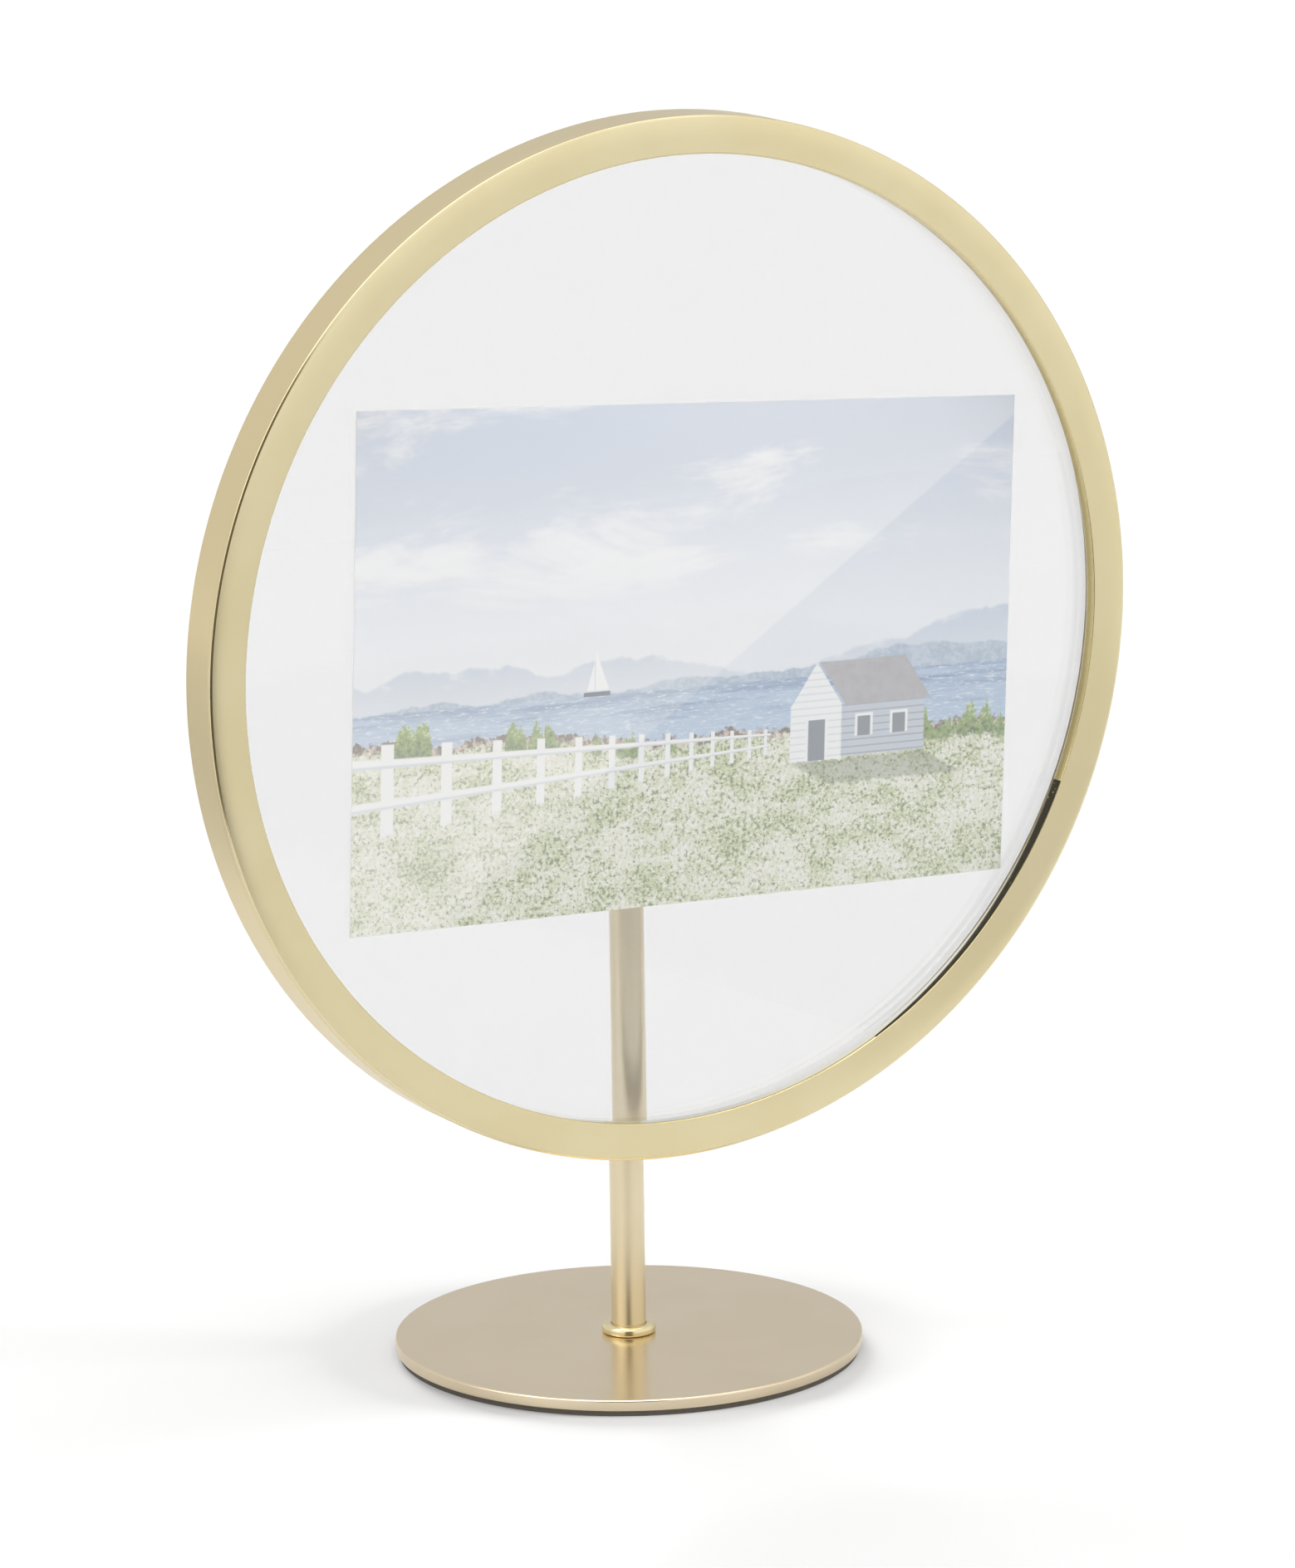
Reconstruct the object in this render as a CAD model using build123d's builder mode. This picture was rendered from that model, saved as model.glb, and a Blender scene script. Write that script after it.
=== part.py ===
# Round photo frame on a stand. Two panes of glass hold a print inside a thin metal ring,
# and a bent pole on a disc base carries the glass from behind.
# Millimetres, +Z up, the ring faces -Y, origin on the table at the pole's axis.
from build123d import *
from math import hypot
import os

os.makedirs("parts", exist_ok=True)

# Driving sizes of the whole object: the ring is sized round the print
print_length = 152.4          # 6 in
print_width = 101.6           # 4 in
print_margin = 6.67           # from a centred print's corner to the ring's opening
face_width = 7.75             # from the opening to the outside of the ring
ring_depth = 10.5             # front face to rear edge
ring_clearance = 47.1         # the ring's lowest point above the table
ring_reach = 26.0             # ring's front face ahead of the pole's axis
base_radius = 48.3
pole_radius = 3.55

# Running gaps and fits
slide_gap = 0.35              # the front unit round the rear unit
lay_gap = 0.05                # between flat faces that only lie together
glue_gap = 0.1                # round what is bonded or pressed in
pin_gap = 0.05                # radial, in a bore

# Ring: spun from sheet, with an eased outer corner and an inner return lip
ring_sheet = 0.9
ring_corner = 0.35            # eased outside, at the front
ring_edge = 0.25              # eased front edge of the opening
ring_fall = 0.24              # the face falls away this much
ring_fall_width = 2.3         # over this much of its outer edge
ring_tuck = 0.5               # the wall draws in this much towards the face
ring_tuck_depth = 3.0         # from this depth forward
lip_depth = 2.7               # the return lip, front to back

# Glass and print
pane_thickness = 2.0
pane_gap = 0.4                # front pane to the ring's wall
print_thickness = 0.25
print_turn = 2.3              # degrees clockwise, as it was laid in
print_right = 3.5             # its middle, to the right of the ring's centre
print_down = 3.4              # and below it

# Foam gasket between the ring's face and the front pane
gasket_inset = 0.6            # from the lip and from the wall

# Keeper: a flat steel washer that holds the front pane in and gives the magnets a face
keeper_thickness = 0.8

# Hoop: a moulded rim round the back pane, with magnets in its front face
hoop_width = 3.85
hoop_seat = 0.5               # the flange behind the pane reaches in this far
hoop_flange = 0.8
hoop_edge = 0.3
magnet_count = 6
magnet_radius = 1.5
magnet_length = 1.5

# Mounting disc, bonded to the back pane, with a spigot in the pole's end
disc_radius = 16.0
disc_thickness = 1.5
disc_edge = 0.5
bond_thickness = 0.4
bond_inset = 1.0
spigot_length = 5.5
spigot_chamfer = 0.4

# Pole: a bent tube
pole_wall = 0.8
pole_bend = 11.0              # radius at the tube's centre line

# Foot: threaded plug in the tube, and the bead round it
plug_length = 14.0
plug_chamfer = 0.5
collar_height = 2.0
collar_width = 1.95
collar_edge = 0.6

# Base plate, pad and screw
plate_thickness = 2.3
plate_edge = 0.45
plate_chamfer = 0.2
pad_thickness = 1.2
pad_inset = 0.7               # the pad stops short of the plate's edge
pad_hole_radius = 6.0
screw_core_radius = 1.6
screw_hole_radius = 2.2       # clearance in the plate
screw_head_radius = 3.7
screw_sink = 0.15             # the head lies this much below the plate's underside
screw_engage = 10.0           # length of screw inside the plug
screw_tip_chamfer = 0.4
socket_flats = 2.5
socket_depth = 1.1

full_turn = 360
countersink_angle = 90

# Places along the ring's depth, counted back from its front face
front_pane_depth = lip_depth
keeper_depth = front_pane_depth + pane_thickness
print_depth = keeper_depth + lay_gap
back_pane_depth = print_depth + print_thickness
hoop_front_depth = keeper_depth + keeper_thickness + glue_gap
bond_depth = back_pane_depth + pane_thickness
hoop_rear_depth = bond_depth + hoop_flange
disc_depth = bond_depth + bond_thickness
disc_rear_depth = disc_depth + disc_thickness

# Radii and heights that follow
opening_radius = hypot(print_length, print_width) / 2 + print_margin
ring_radius = opening_radius + face_width
ring_height = ring_clearance + ring_radius
wall_inner_radius = ring_radius - ring_sheet
lip_outer_radius = opening_radius + ring_sheet
front_pane_radius = wall_inner_radius - pane_gap
hoop_radius = wall_inner_radius - slide_gap
hoop_bore_radius = hoop_radius - hoop_width
back_pane_radius = hoop_bore_radius - glue_gap
keeper_bore_radius = back_pane_radius + slide_gap
pole_bore_radius = pole_radius - pole_wall
base_top = pad_thickness + plate_thickness


def ring_plane(depth):
    # A plane across the ring, that far behind its face, looking to the rear
    return Plane(origin=(0, depth - ring_reach, ring_height), x_dir=(1, 0, 0), z_dir=(0, 1, 0))


# Half section of the ring's round pieces: x is the radius, y the depth
section = Plane(origin=(0, -ring_reach, ring_height), x_dir=(1, 0, 0), z_dir=(0, 0, 1))
ring_axis = Axis((0, -ring_reach, ring_height), (0, 1, 0))


# Front ring: a face that falls away at its edge, outer wall and the return lip round the opening
with BuildPart() as front_ring:
    with BuildSketch(section) as ring_profile:
        with BuildLine():
            Polyline(
                (opening_radius, 0),
                (ring_radius - ring_fall_width, 0),
                (ring_radius - ring_tuck, ring_fall),
                (ring_radius, ring_tuck_depth),
                (ring_radius, ring_depth),
                (wall_inner_radius, ring_depth),
                (wall_inner_radius, ring_sheet),
                (lip_outer_radius, ring_sheet),
                (lip_outer_radius, lip_depth),
                (opening_radius, lip_depth),
                close=True,
            )
        make_face()
        outer_corner = ring_profile.vertices().sort_by_distance((ring_radius - ring_tuck, ring_fall))[0]
        chamfer(outer_corner, length=ring_corner)
        inner_corner = ring_profile.vertices().sort_by_distance((opening_radius, 0))[0]
        chamfer(inner_corner, length=ring_edge)
    revolve(axis=ring_axis)
front_ring.part.label = "front_ring"
export_step(front_ring.part, "parts/front_ring.step")


# Foam gasket in the channel between lip and wall
with BuildPart() as ring_gasket:
    with BuildSketch(ring_plane(ring_sheet)):
        Circle(wall_inner_radius - gasket_inset)
        Circle(lip_outer_radius + gasket_inset, mode=Mode.SUBTRACT)
    extrude(amount=front_pane_depth - ring_sheet)
ring_gasket.part.label = "ring_gasket"
export_step(ring_gasket.part, "parts/ring_gasket.step")


# Front pane
with BuildPart() as front_pane:
    with BuildSketch(ring_plane(front_pane_depth)):
        Circle(front_pane_radius)
    extrude(amount=pane_thickness)
front_pane.part.label = "front_pane"
export_step(front_pane.part, "parts/front_pane.step")


# Steel keeper, pressed into the ring behind the front pane
with BuildPart() as keeper_ring:
    with BuildSketch(ring_plane(keeper_depth)):
        Circle(wall_inner_radius - glue_gap)
        Circle(keeper_bore_radius, mode=Mode.SUBTRACT)
    extrude(amount=keeper_thickness)
keeper_ring.part.label = "keeper_ring"
export_step(keeper_ring.part, "parts/keeper_ring.step")


# Print, laid in a little askew
with BuildPart() as photo_print:
    print_plane = ring_plane(print_depth).shift_origin(
        (print_right, print_depth - ring_reach, ring_height - print_down)
    )
    with BuildSketch(print_plane):
        Rectangle(print_length, print_width, rotation=print_turn)
    extrude(amount=print_thickness)
photo_print.part.label = "photo_print"
export_step(photo_print.part, "parts/photo_print.step")


# Back pane
with BuildPart() as back_pane:
    with BuildSketch(ring_plane(back_pane_depth)):
        Circle(back_pane_radius)
    extrude(amount=pane_thickness)
back_pane.part.label = "back_pane"
export_step(back_pane.part, "parts/back_pane.step")


# Magnet hoop: an L section round the back pane, with blind pockets in its front face
magnet_pitch_radius = (hoop_bore_radius + hoop_radius) / 2
with BuildPart() as magnet_hoop:
    with BuildSketch(section):
        with BuildLine():
            Polyline(
                (hoop_bore_radius, hoop_front_depth),
                (hoop_radius, hoop_front_depth),
                (hoop_radius, hoop_rear_depth - hoop_edge),
                (hoop_radius - hoop_edge, hoop_rear_depth),
                (back_pane_radius - hoop_seat, hoop_rear_depth),
                (back_pane_radius - hoop_seat, bond_depth),
                (hoop_bore_radius, bond_depth),
                close=True,
            )
        make_face()
    revolve(axis=ring_axis)
    with BuildSketch(ring_plane(hoop_front_depth)):
        with PolarLocations(magnet_pitch_radius, magnet_count):
            Circle(magnet_radius)
    extrude(amount=magnet_length, mode=Mode.SUBTRACT)
magnet_hoop.part.label = "magnet_hoop"
export_step(magnet_hoop.part, "parts/magnet_hoop.step")


# Magnets, flush with the hoop's front face
with BuildPart() as hoop_magnets:
    with BuildSketch(ring_plane(hoop_front_depth)):
        with PolarLocations(magnet_pitch_radius, magnet_count):
            Circle(magnet_radius - pin_gap)
    extrude(amount=magnet_length)
hoop_magnets.part.label = "hoop_magnets"
export_step(hoop_magnets.part, "parts/hoop_magnets.step")


# Clear bonding pad between the back pane and the mounting disc
with BuildPart() as bond_pad:
    with BuildSketch(ring_plane(bond_depth)):
        Circle(disc_radius - bond_inset)
    extrude(amount=bond_thickness)
bond_pad.part.label = "bond_pad"
export_step(bond_pad.part, "parts/bond_pad.step")


# Mounting disc with its spigot, turned in one piece
with BuildPart() as mount_disc:
    with BuildSketch(ring_plane(disc_depth)):
        Circle(disc_radius)
    extrude(amount=disc_thickness)
    chamfer(mount_disc.edges().group_by(Axis.Y)[-1], length=disc_edge)
    with BuildSketch(ring_plane(disc_rear_depth)):
        Circle(pole_bore_radius - pin_gap)
    extrude(amount=spigot_length)
    chamfer(mount_disc.edges().group_by(Axis.Y)[-1], length=spigot_chamfer)
mount_disc.part.label = "mount_disc"
export_step(mount_disc.part, "parts/mount_disc.step")


# Pole: one tube that rises from the base and bends forward to the disc
with BuildPart() as pole:
    with BuildLine(Plane.YZ) as pole_line:
        FilletPolyline(
            (0, base_top),
            (0, ring_height),
            (disc_rear_depth - ring_reach, ring_height),
            radius=pole_bend,
        )
    with BuildSketch(Plane.XY.offset(base_top)):
        Circle(pole_radius)
        Circle(pole_bore_radius, mode=Mode.SUBTRACT)
    sweep(path=pole_line.line)
pole.part.label = "pole"
export_step(pole.part, "parts/pole.step")


# Bead round the pole's foot
collar_inner = pole_radius + pin_gap
with BuildPart() as pole_collar:
    with BuildSketch(Plane.XY.offset(base_top)):
        Circle(collar_inner + collar_width)
        Circle(collar_inner, mode=Mode.SUBTRACT)
    extrude(amount=collar_height)
    outer_edges = pole_collar.edges().filter_by(GeomType.CIRCLE).sort_by(SortBy.RADIUS)[-2:]
    chamfer(outer_edges, length=collar_edge)
pole_collar.part.label = "pole_collar"
export_step(pole_collar.part, "parts/pole_collar.step")


# Threaded plug, pressed into the foot of the tube
with BuildPart() as foot_plug:
    with BuildSketch(Plane.XY.offset(base_top)):
        Circle(pole_bore_radius - pin_gap)
    extrude(amount=plug_length)
    chamfer(foot_plug.edges().group_by(Axis.Z)[-1], length=plug_chamfer)
    Hole(screw_core_radius + pin_gap)
foot_plug.part.label = "foot_plug"
export_step(foot_plug.part, "parts/foot_plug.step")


# Base plate: a steel disc with an eased edge, countersunk from below
head_seat_radius = screw_head_radius + screw_sink + pin_gap
with BuildPart() as base_plate:
    with BuildSketch(Plane.XY.offset(pad_thickness)):
        Circle(base_radius)
    extrude(amount=plate_thickness)
    chamfer(base_plate.edges().group_by(Axis.Z)[-1], length=plate_edge)
    chamfer(base_plate.edges().group_by(Axis.Z)[0], length=plate_chamfer)
    with Locations(Plane(origin=(0, 0, pad_thickness), z_dir=(0, 0, -1))):
        CounterSinkHole(
            radius=screw_hole_radius,
            counter_sink_radius=head_seat_radius,
            counter_sink_angle=countersink_angle,
        )
base_plate.part.label = "base_plate"
export_step(base_plate.part, "parts/base_plate.step")


# Countersunk screw, from below through the plate into the plug
head_bottom = pad_thickness + screw_sink
screw_top = base_top + screw_engage
with BuildPart() as base_screw:
    with BuildSketch(Plane.XZ):
        with BuildLine():
            head_height = screw_head_radius - screw_core_radius
            Polyline(
                (0, head_bottom),
                (screw_head_radius, head_bottom),
                (screw_core_radius, head_bottom + head_height),
                (screw_core_radius, screw_top - screw_tip_chamfer),
                (screw_core_radius - screw_tip_chamfer, screw_top),
                (0, screw_top),
                close=True,
            )
        make_face()
    revolve(axis=Axis.Z)
    with BuildSketch(Plane.XY.offset(head_bottom)):
        RegularPolygon(radius=socket_flats / 2, side_count=6, major_radius=False)
    extrude(amount=socket_depth, mode=Mode.SUBTRACT)
base_screw.part.label = "base_screw"
export_step(base_screw.part, "parts/base_screw.step")


# Dark pad under the plate, open at the screw
with BuildPart() as base_pad:
    with BuildSketch():
        Circle(base_radius - pad_inset)
        Circle(pad_hole_radius, mode=Mode.SUBTRACT)
    extrude(amount=pad_thickness)
base_pad.part.label = "base_pad"
export_step(base_pad.part, "parts/base_pad.step")
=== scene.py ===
# Round photo frame on a stand: looks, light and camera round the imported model.
import bmesh, bpy, math
from mathutils import Matrix, Vector


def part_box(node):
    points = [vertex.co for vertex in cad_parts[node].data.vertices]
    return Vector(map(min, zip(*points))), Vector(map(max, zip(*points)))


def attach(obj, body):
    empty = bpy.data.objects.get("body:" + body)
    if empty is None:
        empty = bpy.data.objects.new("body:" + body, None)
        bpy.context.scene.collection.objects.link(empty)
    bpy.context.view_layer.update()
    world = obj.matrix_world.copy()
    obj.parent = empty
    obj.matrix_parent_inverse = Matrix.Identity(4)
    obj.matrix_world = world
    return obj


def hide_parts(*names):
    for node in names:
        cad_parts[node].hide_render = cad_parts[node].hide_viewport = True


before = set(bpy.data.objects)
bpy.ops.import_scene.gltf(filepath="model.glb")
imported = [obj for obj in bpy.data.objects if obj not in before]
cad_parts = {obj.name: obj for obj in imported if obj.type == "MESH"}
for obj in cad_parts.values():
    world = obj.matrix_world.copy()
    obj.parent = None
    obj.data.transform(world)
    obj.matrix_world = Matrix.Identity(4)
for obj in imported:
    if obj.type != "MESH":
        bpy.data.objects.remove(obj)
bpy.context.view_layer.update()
mm = 0.001
print("frame loaded:", len(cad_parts), "nodes")


def middle(node):
    low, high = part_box(node)
    return (Vector(low) + Vector(high)) / 2


def placed(name, data):
    made = bpy.data.objects.new(name, data)
    bpy.context.scene.collection.objects.link(made)
    return made


ringLow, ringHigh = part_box("front_ring")
ringMiddle = middle("front_ring")
ringRadius = (ringHigh[0] - ringLow[0]) / 2
eastward, northward, upward = Vector((1, 0, 0)), Vector((0, 1, 0)), Vector((0, 0, 1))


# Shader maths

def linear(red, green, blue):
    # a colour as seen on screen, 0 to 255, to the linear values of a socket
    def one(level):
        level = level / 255
        return level / 12.92 if level <= 0.04045 else ((level + 0.055) / 1.055) ** 2.4
    return (one(red), one(green), one(blue), 1)


white = (1, 1, 1, 1)


class Wire:
    # one output socket of a material's tree; arithmetic on it adds Math nodes
    def __init__(self, paint, socket):
        self.paint = paint
        self.socket = socket

    def math(self, operation, *values):
        return self.paint.node("ShaderNodeMath", {"operation": operation}, dict(enumerate(values)))

    def __add__(self, other): return self.math("ADD", self, other)
    def __radd__(self, other): return self.math("ADD", other, self)
    def __sub__(self, other): return self.math("SUBTRACT", self, other)
    def __rsub__(self, other): return self.math("SUBTRACT", other, self)
    def __mul__(self, other): return self.math("MULTIPLY", self, other)
    def __rmul__(self, other): return self.math("MULTIPLY", other, self)
    def __truediv__(self, other): return self.math("DIVIDE", self, other)
    def __rtruediv__(self, other): return self.math("DIVIDE", other, self)
    def __pow__(self, other): return self.math("POWER", self, other)
    def __neg__(self): return self.math("MULTIPLY", self, -1)
    def __abs__(self): return self.math("ABSOLUTE", self)
    def __lt__(self, other): return self.math("LESS_THAN", self, other)
    def __gt__(self, other): return self.math("GREATER_THAN", self, other)
    def larger(self, other): return self.math("MAXIMUM", self, other)
    def fraction(self): return self.math("FRACT", self)


class Paint:
    # one material and its node tree
    def __init__(self, name, tree=None):
        if tree is None:
            self.material = bpy.data.materials.new(name)
            self.material.use_nodes = True
            tree = self.material.node_tree
        self.tree = tree
        self.tree.nodes.clear()

    def node(self, kind, settings={}, inputs={}, output=0):
        made = self.tree.nodes.new(kind)
        for key, value in settings.items():
            setattr(made, key, value)
        for key, value in inputs.items():
            if isinstance(value, Wire):
                self.tree.links.new(value.socket, made.inputs[key])
            else:
                made.inputs[key].default_value = value
        return Wire(self, made.outputs[output]) if made.outputs else None

    def parts(self, vector):
        split = self.node("ShaderNodeSeparateXYZ", {}, {0: vector}).socket.node
        return [Wire(self, socket) for socket in split.outputs]

    def join(self, x, y, z):
        return self.node("ShaderNodeCombineXYZ", {}, {0: x, 1: y, 2: z})

    def place(self):
        return self.node("ShaderNodeTexCoord", output="Object")

    def facing(self):
        return self.node("ShaderNodeTexCoord", output="Normal")

    def noise(self, vector, scale, detail=2.0, rough=0.5, distort=0.0):
        inputs = {"Vector": vector, "Scale": scale, "Detail": detail, "Roughness": rough, "Distortion": distort}
        return self.node("ShaderNodeTexNoise", {}, inputs)

    def spots(self, vector, scale):
        return self.node("ShaderNodeTexVoronoi", {}, {"Vector": vector, "Scale": scale}, "Distance")

    def mix(self, factor, first, second):
        # a Mix node's colour sockets are 6 and 7 in and 2 out
        settings = {"data_type": "RGBA", "clamp_factor": True}
        return self.node("ShaderNodeMix", settings, {"Factor": factor, 6: first, 7: second}, 2)

    def step(self, value, low, high):
        # 0 below low, 1 above high, smooth between
        inputs = {"Value": value, "From Min": low, "From Max": high}
        return self.node("ShaderNodeMapRange", {"interpolation_type": "SMOOTHSTEP"}, inputs)

    def band(self, value, low, high, soft):
        return self.step(value, low - soft, low + soft) * (1 - self.step(value, high - soft, high + soft))

    def bump(self, height, depth):
        return self.node("ShaderNodeBump", {}, {"Height": height, "Distance": depth, "Strength": 1.0})

    def body(self, **inputs):
        named = {key.replace("_", " "): value for key, value in inputs.items()}
        return self.node("ShaderNodeBsdfPrincipled", {}, named)

    def finish(self, shader):
        self.node("ShaderNodeOutputMaterial", {}, {"Surface": shader})
        return self.material


def dress(node, material):
    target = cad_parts[node]
    target.data.materials.clear()
    target.data.materials.append(material)


# Camera

view = {
    "place": (-762.9, -1324.2, 466.9),     # mm
    "turn": 30.153, "down": 12.81, "roll": -0.834,  # degrees
    "focal": 9270, "imageHeight": 1888, "sensor": 36, "clipEnd": 50,
}


def makeCamera():
    turn, down, roll = (math.radians(view[key]) for key in ("turn", "down", "roll"))
    look = Vector((math.sin(turn) * math.cos(down), math.cos(turn) * math.cos(down), -math.sin(down)))
    level = Vector((math.cos(turn), -math.sin(turn), 0))
    rise = level.cross(look)
    right = math.cos(roll) * level + math.sin(roll) * rise
    up = -math.sin(roll) * level + math.cos(roll) * rise
    data = bpy.data.cameras.new("camera")
    data.sensor_fit = "AUTO"
    data.sensor_width = view["sensor"]
    data.lens = view["focal"] * view["sensor"] / view["imageHeight"]
    data.clip_end = view["clipEnd"]
    camera = placed("camera", data)
    spin = Matrix((right, up, -look)).transposed().to_4x4()
    camera.matrix_world = Matrix.Translation(Vector(view["place"]) * mm) @ spin
    bpy.context.scene.camera = camera


makeCamera()
print("camera set")


# Finer bodies for the turned and bent metal, in the places of their CAD nodes

sharpAngle = 32      # degrees


def softened(outline, steps=7):
    # outline points are (across, along, corner radius) in mm; returns points in metres with the corners rounded
    done = []
    count = len(outline)
    for i, (x, y, radius) in enumerate(outline):
        here = Vector((x, y))
        if not radius:
            done.append(here * mm)
            continue
        back = (Vector(outline[i - 1][:2]) - here).normalized()
        ahead = (Vector(outline[(i + 1) % count][:2]) - here).normalized()
        half = back.angle(ahead) / 2
        reach = radius / math.tan(half)
        centre = here + (back + ahead).normalized() * radius / math.sin(half)
        first = here + back * reach - centre
        turn = first.angle_signed(here + ahead * reach - centre)
        for k in range(steps + 1):
            swing = -turn * k / steps
            spoke = Vector((first.x * math.cos(swing) - first.y * math.sin(swing),
                            first.x * math.sin(swing) + first.y * math.cos(swing)))
            done.append((centre + spoke) * mm)
    return done


def finePiece(name, points, faces, node, body, material):
    mesh = bpy.data.meshes.new(name)
    mesh.from_pydata(points, [], faces)
    work = bmesh.new()
    work.from_mesh(mesh)
    bmesh.ops.recalc_face_normals(work, faces=work.faces)
    work.to_mesh(mesh)
    work.free()
    mesh.shade_smooth()
    mesh.set_sharp_from_angle(angle=math.radians(sharpAngle))
    mesh.materials.append(material)
    piece = placed(name, mesh)
    even = piece.modifiers.new("even", "WEIGHTED_NORMAL")
    even.keep_sharp = True
    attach(piece, body)
    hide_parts(node)


def turned(outline, origin, first, second, along, steps):
    # a closed outline spun round the line through origin; returns points and faces
    points, faces, count = [], [], len(outline)
    for i in range(steps):
        angle = math.tau * i / steps
        spoke = first * math.cos(angle) + second * math.sin(angle)
        points += [origin + spoke * across + along * high for across, high in outline]
        here, after = i * count, (i + 1) % steps * count
        for k in range(count):
            n = (k + 1) % count
            faces.append((here + k, here + n, after + n, after + k))
    return points, faces


# Ring section in mm: a flat face that falls away ever steeper towards its outer edge, a wall that draws in, a lip
# that returns round the opening. The shoulder is (in from the rim, depth, corner radius).
ringShape = {
    "faceWidth": 7.75, "sheet": 0.9, "lipDepth": 2.7, "depth": 10.5,
    "shoulder": ((4.0, 0, 30), (3.0, 0.03, 10), (2.2, 0.08, 8), (1.4, 0.16, 4), (0.85, 0.245, 2),
                 (0.52, 0.32, 0.5), (0.07, 0.58, 0.24)),
    "tuckDepth": 1.5, "wallRoll": 9, "openingEdge": 0.3, "rearEdge": 0.2, "steps": 360,
}


def makeRing(material):
    s = ringShape
    outer = ringRadius / mm
    opening = outer - s["faceWidth"]
    wall = outer - s["sheet"]
    lipOut = opening + s["sheet"]
    shoulder = [(outer - back, deep, roll) for back, deep, roll in s["shoulder"]]
    outline = softened([
        (opening, 0, s["openingEdge"]), *shoulder, (outer, s["tuckDepth"], s["wallRoll"]),
        (outer, s["depth"], s["rearEdge"]), (wall, s["depth"], s["rearEdge"]), (wall, s["sheet"], 0),
        (lipOut, s["sheet"], 0), (lipOut, s["lipDepth"], s["rearEdge"]), (opening, s["lipDepth"], s["rearEdge"]),
    ])
    origin = Vector((ringMiddle.x, ringLow[1], ringMiddle.z))
    points, faces = turned(outline, origin, eastward, upward, northward, s["steps"])
    finePiece("ring_shell", points, faces, "front_ring", "ring_front", material)


def spunOnTable(name, node, outline, steps, material):
    # a piece spun round an upright axis through its CAD node; outline gets the node's radius and height in mm
    low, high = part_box(node)
    radius = (high[0] - low[0]) / 2 / mm
    tall = (high[2] - low[2]) / mm
    origin = Vector((middle(node).x, middle(node).y, low[2]))
    points, faces = turned(outline(radius, tall), origin, eastward, northward, upward, steps)
    finePiece(name, points, faces, node, "stand", material)


baseShape = {"top": 0.45, "bottom": 0.2, "hole": 2.2, "sink": 3.85, "steps": 256}      # mm


def baseOutline(radius, thick):
    s = baseShape
    return softened([
        (s["hole"], thick, 0), (radius, thick, s["top"]), (radius, 0, s["bottom"]),
        (s["sink"], 0, 0), (s["hole"], s["sink"] - s["hole"], 0),
    ])


beadShape = {"bore": 3.6, "top": 1.05, "bottom": 0.5, "boreEdge": 0.3, "cornerSteps": 12, "steps": 128}      # mm


def beadOutline(radius, tall):
    s = beadShape
    return softened([
        (s["bore"], 0, 0), (radius, 0, s["bottom"]), (radius, tall, s["top"]), (s["bore"], tall, s["boreEdge"]),
    ], s["cornerSteps"])


poleShape = {"bend": 11.0, "wall": 0.8, "bendSteps": 24, "sides": 64}      # mm


def makePole(material):
    s = poleShape
    low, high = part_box("pole")
    radius = (high[0] - low[0]) / 2
    bend = s["bend"] * mm
    axisY = high[1] - radius
    topZ = high[2] - radius
    # stations along the tube: centre and the direction that points out of the bend
    stations = [(Vector((0, axisY, low[2])), northward)]
    for k in range(s["bendSteps"] + 1):
        angle = math.pi / 2 * k / s["bendSteps"]
        out = northward * math.cos(angle) + upward * math.sin(angle)
        stations.append((Vector((0, axisY - bend, topZ - bend)) + out * bend, out))
    stations.append((Vector((0, low[1], topZ)), upward))
    sides, points = s["sides"], []
    for size in (radius, radius - s["wall"] * mm):
        for centre, out in stations:
            for i in range(sides):
                angle = math.tau * i / sides
                points.append(centre + (eastward * math.cos(angle) + out * math.sin(angle)) * size)
    faces, runs = [], len(stations)
    for skin in range(2):
        for k in range(runs - 1):
            for i in range(sides):
                n = (i + 1) % sides
                here, after = (skin * runs + k) * sides, (skin * runs + k + 1) * sides
                faces.append((here + i, here + n, after + n, after + i))
    for end in (0, runs - 1):
        for i in range(sides):
            n = (i + 1) % sides
            outside, inside = end * sides, (runs + end) * sides
            faces.append((outside + i, outside + n, inside + n, inside + i))
    finePiece("bent_tube", points, faces, "pole", "stand", material)


# Satin brass: fine even grain under slow clouds of tone and roughness

brass = {
    "cloud": 45, "cloudDetail": 3, "cloudEdge": (0.35, 0.7), "roughSpread": 0.03,
    "grain": 5200, "grainDetail": 2, "grainRough": 0.6, "grainDepth": 0.0000012,
}
# two tones and the roughness
brassTones = {
    "satin_brass": (linear(221, 209, 170), linear(218, 205, 164), 0.3),
    "satin_brass_pole": (linear(222, 209, 178), linear(219, 205, 173), 0.33),
    "satin_brass_bead": (linear(225, 211, 170), linear(222, 207, 164), 0.22),
    "base_brass": (linear(223, 207, 179), linear(219, 203, 174), 0.22),
}


def satin(paint, kind):
    first, second, rough = brassTones[kind]
    place = paint.place()
    cloud = paint.noise(place, brass["cloud"], brass["cloudDetail"])
    grain = paint.noise(place, brass["grain"], brass["grainDetail"], brass["grainRough"])
    tone = paint.mix(paint.step(cloud, *brass["cloudEdge"]), first, second)
    return tone, rough + (cloud - 0.5) * brass["roughSpread"], paint.bump(grain, brass["grainDepth"])


def brassPaint(kind):
    paint = Paint(kind)
    tone, roughness, grain = satin(paint, kind)
    return paint.finish(paint.body(Base_Color=tone, Metallic=1.0, Roughness=roughness, Normal=grain))


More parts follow.
